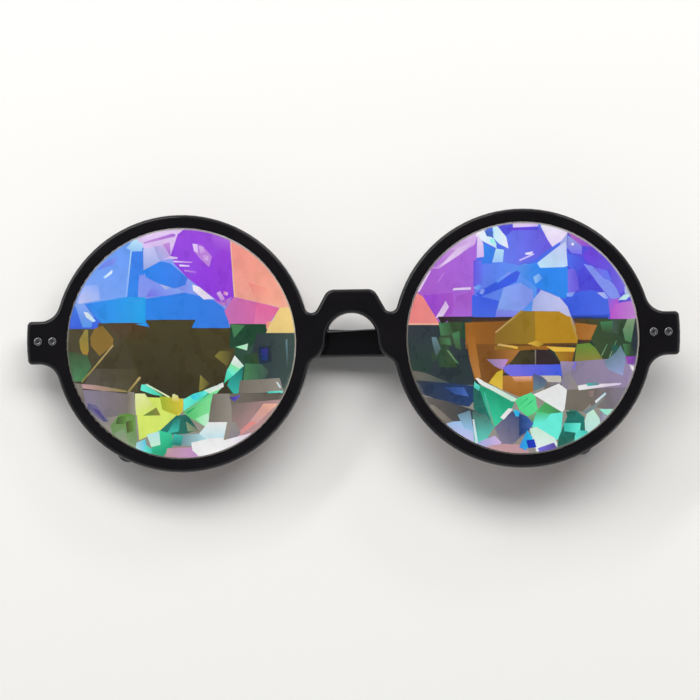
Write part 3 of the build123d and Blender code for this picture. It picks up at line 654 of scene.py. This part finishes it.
    ("leaf", "forest", 270, (66, 14), (79, 15), (76, 4), (68, 6)),
    ("slate green", "forest", 0, (77, 16), (85, 16), (82, 3), (77, 5)),
    ("pale leaf", "leaf", 270, (86, 7), (90, 16.5), (97, 17), (94, -4), (88, -2)),
    ("slate", "slate", 0, (97, 17), (120, 17), (120, -18), (98, -18), (93, -5)),
    ("pale leaf", "leaf", 0, (67, -15), (68, -15), (73, -5), (72, -5)),
    ("pale leaf", "leaf", 0, (74, -16), (75, -16), (81, -2), (80, -2)),
    ("dark teal", "slate green", 270, (76, -6), (82, -6), (82, -15), (77, -16)),
    ("leaf", "forest", 0, (86, -5), (93, -5), (92, -15), (88, -16)),
    ("slate blue", "slate blue", 0, (78, -15), (84, -6), (89, -16)),
    ("umber", "dark brown", 0, (47, -1), (57, -1.5), (56, -5), (47, -5)),
    ("moss", "khaki", 270, (46, -5), (57, -4), (62, -8), (70, -20), (44, -20)),
    ("grey mauve", "lavender", 20, (42, -20), (98, -16), (98, -32), (90, -44), (48, -44), (38, -28)),
    ("slate blue", "pale lavender", 300, (70, -20), (84, -9), (89, -16), (86, -32), (73, -27)),
    ("orchid", "deep violet", 0, (88, -16), (100, -15), (98, -23), (90, -22)),
    ("periwinkle violet", "lavender", 300, (37, -27), (42, -20), (46, -20), (44, -29), (48, -38)),
    ("white", "white", 0, (92, -23), (95, -24), (95.5, -28), (93.5, -28)),
    ("lavender", "grey mauve", 270, (32, -20), (44, -20), (40, -32), (34, -33)),
    ("grey mauve", "stone", 0, (35, -31), (39, -28), (48, -42), (48, -45), (38, -45), (32, -38)),
    ("taupe", "taupe", 0, (37, -44), (68, -43), (62, -52), (52, -63), (45, -63), (35, -61)),
    ("rose grey", "taupe", 180, (55, -45), (68, -45), (62, -51), (57, -50)),
    ("taupe", "grey mauve", 0, (62, -43), (95, -42), (88, -58), (74, -62), (58, -58)),
    ("slate blue", "stone", 30, (51, -64), (54, -62), (73, -45), (73, -49), (58, -65)),
    ("white", "ice", 0, (62, -54), (71, -46.5), (72, -48), (63, -56)),
    ("white", "lilac white", 0, (47, -40.5), (53, -39.5), (85, -38.5), (84, -40), (53, -44), (48, -44.5)),
    ("sea green", "slate blue", 0, (54, -38.5), (64, -38), (66, -40), (56, -41)),
    ("mint white", "ice", 270, (55, -65), (61, -61), (66, -61), (68, -72), (72, -78), (60, -92),
     (50, -94), (50, -82)),
    ("aqua", "mint white", 0, (60, -61), (72, -55.5), (84, -59), (76, -68), (70, -65), (66, -61)),
    ("grey mauve", "lavender white", 0, (66, -62), (71, -66), (78, -70), (72, -82), (67, -76)),
    ("taupe", "slate", 0, (-100, -44), (-88, -47), (-66, -54), (-40, -59), (-40, -76), (-64, -76),
     (-90, -66)),
    ("stone", "taupe", 300, (-90, -56), (-76, -58), (-60, -72), (-70, -80)),
    ("pale sky", "lilac", 270, (-74, -73), (-60, -72), (-48, -68), (-40, -80), (-40, -100), (-66, -94)),
    ("slate blue", "pale sky", 270, (-56, -66), (-45, -62), (-42, -80), (-50, -78)),
    ("dark teal", "teal", 300, (-42, -40), (-35, -42), (-24, -76), (-31, -78), (-42, -60)),
    ("emerald", "turquoise", 250, (-38, -39), (-6, -53), (-10, -63), (-24, -76.5), (-29, -66)),
    ("sea green", "pale leaf", 0, (-33, -46), (-32, -46), (-24, -76), (-26, -76)),
    ("slate green", "aqua", 270, (-43, -62), (-31, -66), (-24, -76), (-27, -81), (-35, -94),
     (-40, -100), (-42, -86)),
    ("white", "ice", 0, (-43, -70), (-41.5, -70), (-37.5, -94), (-40, -94)),
    ("aqua", "sea green", 270, (-41, -37), (-36, -41), (-37, -45), (-41.5, -42)),
    ("white", "mint white", 0, (-40, -34.5), (-38, -34), (-5, -51.5), (-5, -54), (-9, -54), (-36, -39)),
    ("night blue", "grey mauve", 225, (-24, -77), (-16, -69), (-9, -63), (-4, -63), (12, -74),
     (6, -79), (2, -92), (-18, -93)),
    ("white", "white", 0, (-19, -68), (-12, -60), (-8, -60.5), (-16, -70)),
    ("azure", "cyan", 180, (-8, -61), (-3, -62), (0, -67), (-6, -67)),
    ("pale lavender", "lilac", 0, (-39, -90), (-24, -84), (-18, -90), (-28, -100), (-40, -99)),
    ("rose grey", "rose grey", 0, (-31, -93), (-16, -91), (3, -92), (8, -104), (-22, -108)),
    ("spring green", "spring green", 0, (-6, -53), (-2, -50), (9, -45.5), (11, -49), (20, -54),
     (13, -61), (14, -66), (4, -67), (-3, -61)),
    ("green", "emerald", 0, (-4, -58), (-3, -57), (5, -50), (4, -52)),
    ("green", "emerald", 0, (-1, -61), (0, -60), (9, -52), (8, -54)),
    ("green", "leaf", 0, (20, -54), (35, -62), (33, -64.5), (22, -65), (12, -62)),
    ("pale leaf", "leaf", 300, (4, -67), (14, -63), (18, -71), (10, -75)),
    ("steel blue", "night blue", 180, (-3, -64), (4, -67), (11, -75), (5, -79), (-3, -88)),
    ("aqua", "aqua", 0, (13, -66), (34.5, -63.5), (33, -86), (28, -88), (8, -76)),
    ("green", "aqua", 270, (12, -62), (24, -65), (18, -73), (9, -73)),
    ("mint white", "white", 270, (6, -78), (12, -76), (28, -86), (31, -93), (12, -98)),
    ("white", "white", 0, (9, -48), (31, -38.5), (38, -44), (36, -61), (34, -63.5), (20, -55)),
    ("cyan", "azure", 180, (4, -79), (9, -86), (3, -97), (-3, -94)),
    ("deep blue", "deep blue", 0, (3, -88), (10, -87), (12, -94), (5, -95)),
    ("periwinkle violet", "deep violet", 0, (13, -95), (27, -90), (32, -98), (20, -106)),
    ("teal", "dark teal", 270, (35, -61.5), (46, -62), (53, -68), (54, -82), (44, -96), (26, -99), (31, -86)),
    ("sea green", "aqua", 0, (35, -73), (50, -73), (49, -82), (36, -80)),
    ("dark teal", "teal", 270, (37, -63), (46, -63), (45, -71), (39, -69)),
    ("aqua", "sea green", 0, (46, -79), (56, -80), (56, -90), (43, -95)),
)
film_radius = 0.026
mosaic_radius = 0.0257
film_edge_radius = 0.02606
film_behind_front = 0.0004
film_thickness = 0.00004
film_segments = 160
left_shards_lift = -1.8
lens_spacing_half = 0.0386
ground_edge_painted_light_from = Vector((0.45, 0.9, 0)).normalized()


def linear_colour(name):
    """A colour from the table of coating and painted light as linear red, green, blue and a full alpha."""
    levels = [int(coating_and_painted_light_colours[name][i : i + 2], 16) / 255 for i in (0, 2, 4)]
    return Vector([c / 12.92 if c <= 0.04045 else ((c + 0.055) / 1.055) ** 2.4 for c in levels] + [1])


def cut_shard(bm, tint, first, last, heading, corners):
    """Cuts one shard out of the film along its edges and colours it."""
    corners = [Vector((u, v, 0)) * film_radius / 100 for u, v in corners]
    middle = sum(corners, Vector()) / len(corners)
    reach = max((corner - middle).length for corner in corners)
    shard = [
        face
        for face in bm.faces
        if (face.calc_center_median() - middle).length
        < reach + max((loop.vert.co - face.calc_center_median()).length for loop in face.loops)
    ]
    for start, end in zip(corners, corners[1:] + corners[:1]):
        outwards = (end - start).cross(Vector((0, 0, 1)))
        if outwards.dot(middle - start) > 0:
            outwards.negate()
        parts = list({part for face in shard for part in (*face.verts, *face.edges, face)})
        cut = bmesh.ops.bisect_plane(bm, geom=parts, dist=1e-8, plane_co=start, plane_no=outwards)
        shard = [
            part
            for part in cut["geom"]
            if isinstance(part, bmesh.types.BMFace) and (part.calc_center_median() - start).dot(outwards) < 0
        ]
    run = Vector((cos(radians(heading)), sin(radians(heading)), 0))
    nearest = min(corner.dot(run) for corner in corners)
    furthest = max(corner.dot(run) for corner in corners)
    for face in shard:
        for loop in face.loops:
            share = (loop.vert.co.dot(run) - nearest) / (furthest - nearest)
            loop[tint] = first.lerp(last, min(max(share, 0), 1))


coating, tree, output = shader_tree("colour_coating_and_painted_light")
shard_colour = add_node(tree, "VertexColor", {"layer_name": "shard_colour"}).outputs["Color"]
shimmer = add_node(
    tree, "TexNoise", Vector=object_coordinates(tree, (1.0, 0.7, 1.0)), Scale=0.3, Detail=4.0, Roughness=0.55
).outputs["Fac"]
shimmer_level = add_node(
    tree, "MapRange", Value=shimmer, From_Min=0.25, From_Max=0.75, To_Min=0.62, To_Max=0.72
).outputs[0]
film_colour = add_node(
    tree, "VectorMath", {"operation": "SCALE"}, _0=shard_colour, Scale=shimmer_level
).outputs[0]
film_roughness = add_node(
    tree, "MapRange", Value=shimmer, From_Min=0.3, From_Max=0.7, To_Min=0.2, To_Max=0.45
).outputs[0]
film_shader = add_node(
    tree,
    "BsdfPrincipled",
    Base_Color=film_colour,
    Roughness=film_roughness,
    Specular_IOR_Level=0.12,
)
pass_lamp_light(tree, output, film_shader, (0.2, 0.11, 0.09, 1))

for side, towards_side, shards, lift in (
    ("left", -1, left_shards, left_shards_lift),
    ("right", 1, right_shards, 0),
):
    bm = bmesh.new()
    tint = bm.loops.layers.float_color.new("shard_colour")
    bmesh.ops.create_circle(bm, cap_ends=True, segments=film_segments, radius=mosaic_radius)
    for face in bm.faces:
        for loop in face.loops:
            loop[tint] = linear_colour("stone")
    for first, last, heading, *corners in shards:
        corners = [(u, v + lift) for u, v in corners]
        cut_shard(bm, tint, linear_colour(first), linear_colour(last), heading, corners)
    mosaic_border = [edge for edge in bm.edges if edge.is_boundary]
    ground_edge = bmesh.ops.extrude_edge_only(bm, edges=mosaic_border)["geom"]
    bmesh.ops.scale(
        bm,
        vec=Vector((1, 1, 1)) * film_edge_radius / mosaic_radius,
        verts=[part for part in ground_edge if isinstance(part, bmesh.types.BMVert)],
    )
    # The ground edge is painted cream on the side towards the light and dark taupe on the far side: a painted
    # highlight and painted shade.
    for face in ground_edge:
        if isinstance(face, bmesh.types.BMFace):
            for loop in face.loops:
                lit = 0.5 + 0.5 * loop.vert.co.normalized().dot(ground_edge_painted_light_from)
                loop[tint] = linear_colour("dark taupe").lerp(linear_colour("cream"), lit)
    bmesh.ops.recalc_face_normals(bm, faces=bm.faces)
    bmesh.ops.solidify(bm, geom=bm.faces[:], thickness=film_thickness)
    place = (
        glasses_axes
        @ Matrix.Translation((towards_side * lens_spacing_half, 0, -film_behind_front))
        @ Matrix.Rotation(-camera_roll, 4, "Z")
    )
    bmesh.ops.transform(bm, matrix=place, verts=bm.verts)
    film_mesh = bpy.data.meshes.new(f"coating.{side}")
    bm.to_mesh(film_mesh)
    bm.free()
    film_mesh.materials.append(coating)
    film = add_object(f"coating.{side}", film_mesh)
    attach(film, "front")
